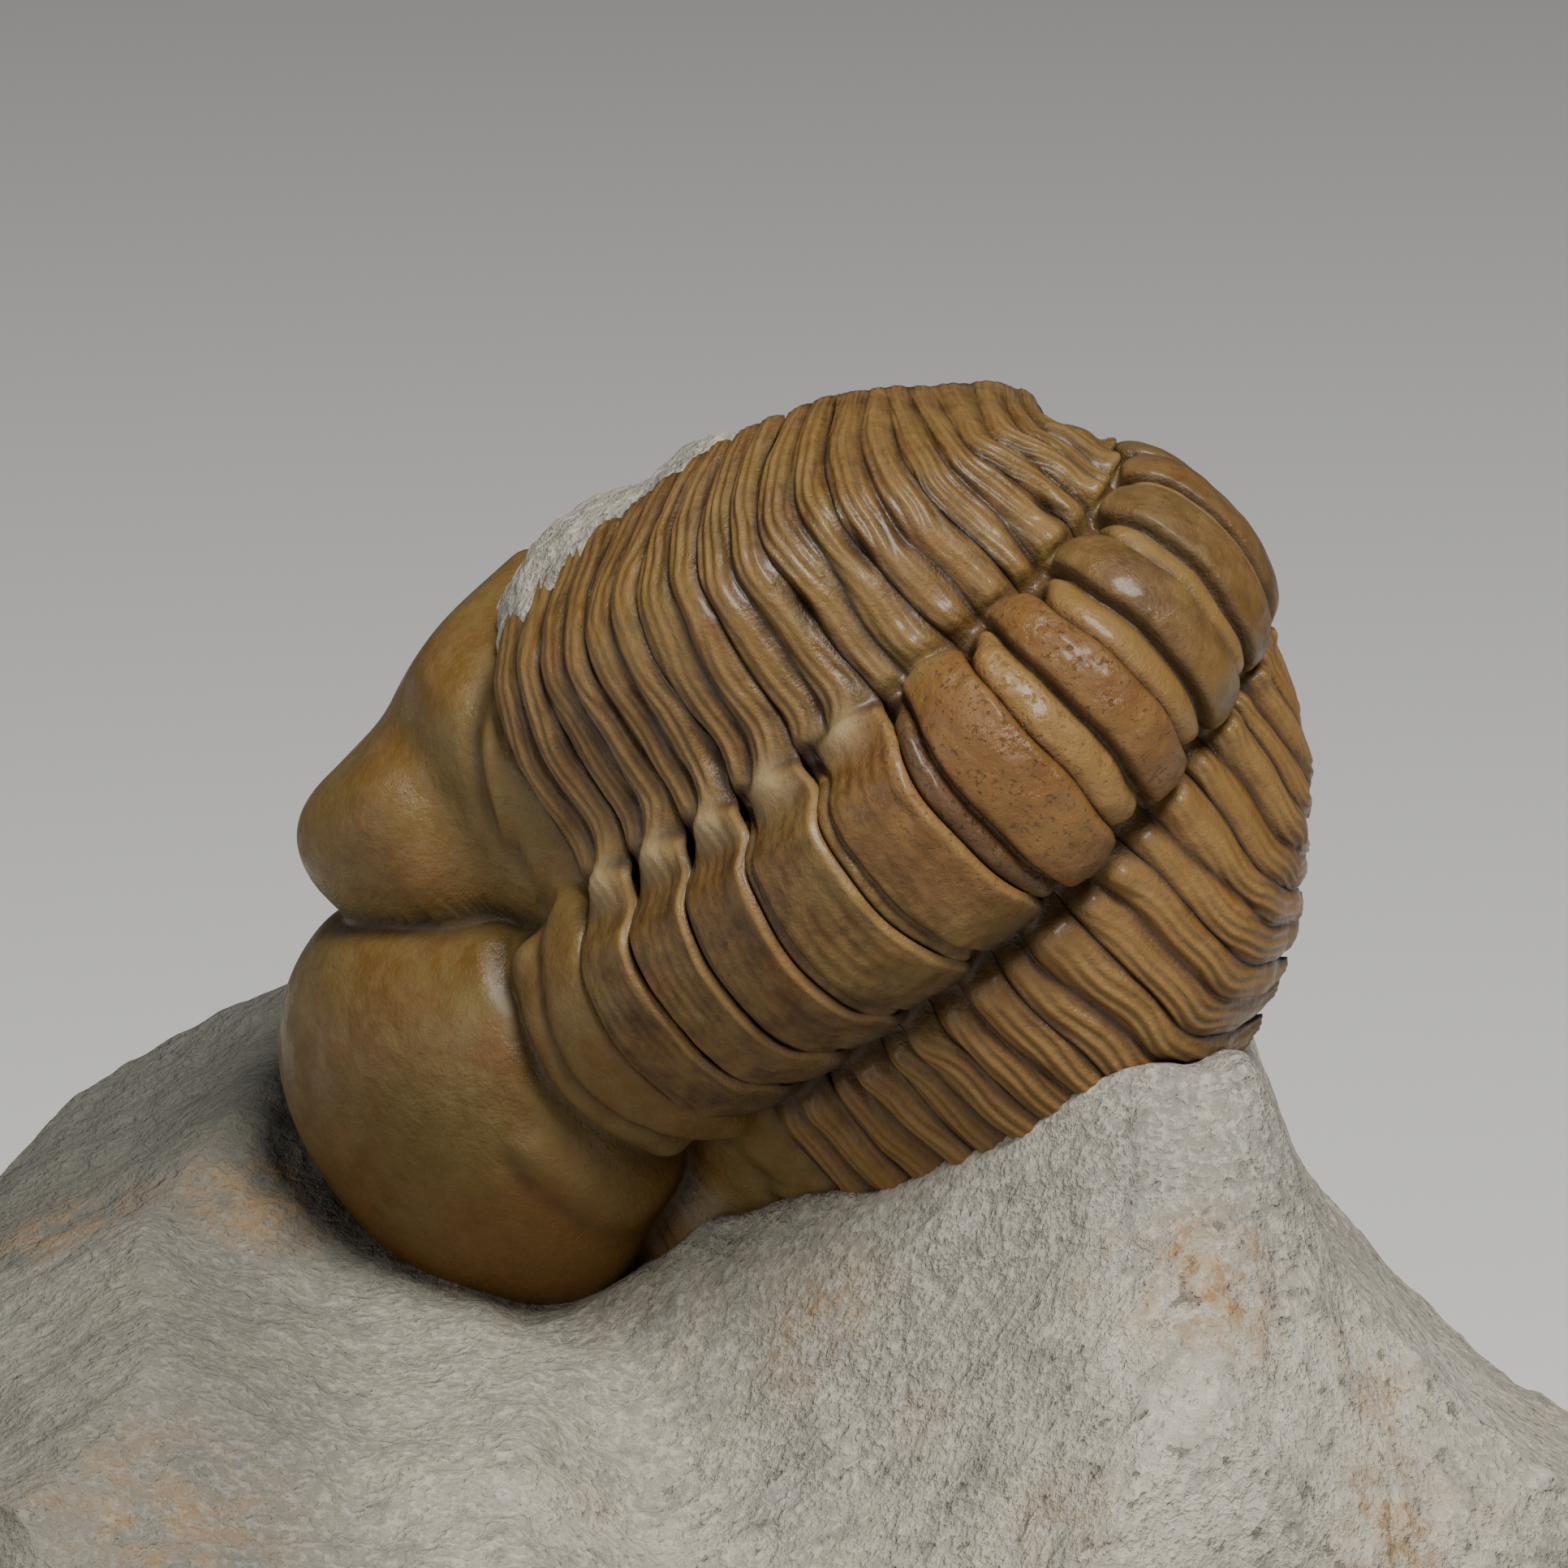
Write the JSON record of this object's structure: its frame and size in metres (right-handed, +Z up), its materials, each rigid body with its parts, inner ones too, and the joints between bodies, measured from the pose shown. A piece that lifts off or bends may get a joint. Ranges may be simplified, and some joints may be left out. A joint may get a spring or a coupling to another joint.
{
  "type": "fossil trilobite",
  "caption": "Fossil phacopid trilobite, part rolled up and lying on its left side, half freed from a loose piece of limestone with a flat underside.",
  "frame": {"origin": "middle of the bounding box, on the level of the stone's flat underside", "axes": "+Z up, -Z out of the flat underside; the picture's viewer is towards -Y, the animal's head to -X and its tail to +X"},
  "size_m": [0.04, 0.0312, 0.0261],
  "materials": {
    "head_shell": "semi-gloss mineralised shell, olive tan to amber",
    "body_shell": "semi-gloss mineralised shell, tan to orange brown with dark furrows",
    "limestone": "matt fine-grained pale grey limestone with ochre stains"
  },
  "bodies": {
    "root": {"cephalon": "head_shell", "thoracic_segment_01": "body_shell", "thoracic_segment_02": "body_shell", "thoracic_segment_03": "body_shell", "thoracic_segment_04": "body_shell", "thoracic_segment_05": "body_shell", "thoracic_segment_06": "body_shell", "thoracic_segment_07": "body_shell", "thoracic_segment_08": "body_shell", "thoracic_segment_09": "body_shell", "thoracic_segment_10": "body_shell", "thoracic_segment_11": "body_shell", "pygidium": "body_shell", "matrix": "limestone"}
  },
  "joints": []
}
